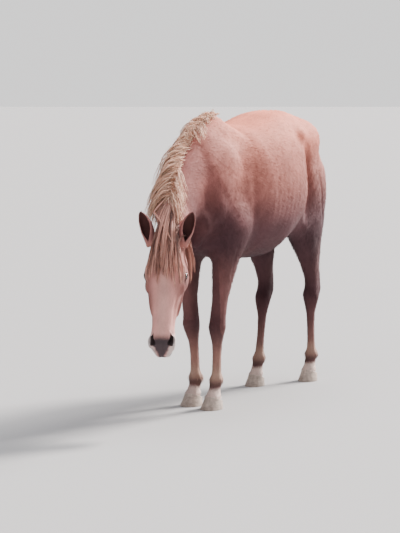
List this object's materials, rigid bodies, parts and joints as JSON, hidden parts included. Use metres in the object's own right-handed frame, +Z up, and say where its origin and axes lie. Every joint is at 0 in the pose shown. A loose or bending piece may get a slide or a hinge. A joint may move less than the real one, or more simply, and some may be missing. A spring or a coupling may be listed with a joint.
{
  "type": "standing horse, animal model",
  "caption": "Life-size still model of a young chestnut horse that stands at rest, its neck lowered and its face turned a little to its left, with a flaxen mane and forelock.",
  "frame": {"origin": "on the floor under the middle of the horse's bounding box", "axes": "-Y the way the horse's trunk faces, +X to the horse's left, +Z up from the floor"},
  "size_m": [0.5314, 1.9398, 1.4428],
  "materials": {
    "body_coat": "short summer coat, light red chestnut, softly glossy",
    "face_coat": "very short coat, paler down the face and grey on the muzzle",
    "leg_coat": "short coat, darker at the knees and hocks",
    "ear_coat": "short dark coat with paler rims",
    "mane_hair": "long flaxen hair in locks",
    "tail_hair": "long chestnut hair in locks",
    "hoof": "dry horn with faint rings",
    "eye": "wet dark brown"
  },
  "bodies": {
    "root": {"trunk": "body_coat", "neck": "body_coat", "head": "face_coat", "tail": "tail_hair", "mane": "mane_hair", "forelock": "mane_hair", "foreleg_left": "leg_coat", "foreleg_right": "leg_coat", "hindleg_left": "leg_coat", "hindleg_right": "leg_coat", "forehoof_left": "hoof", "forehoof_right": "hoof", "hindhoof_left": "hoof", "hindhoof_right": "hoof", "ear_left": "ear_coat", "ear_right": "ear_coat", "eye_left": "eye", "eye_right": "eye"}
  },
  "joints": []
}
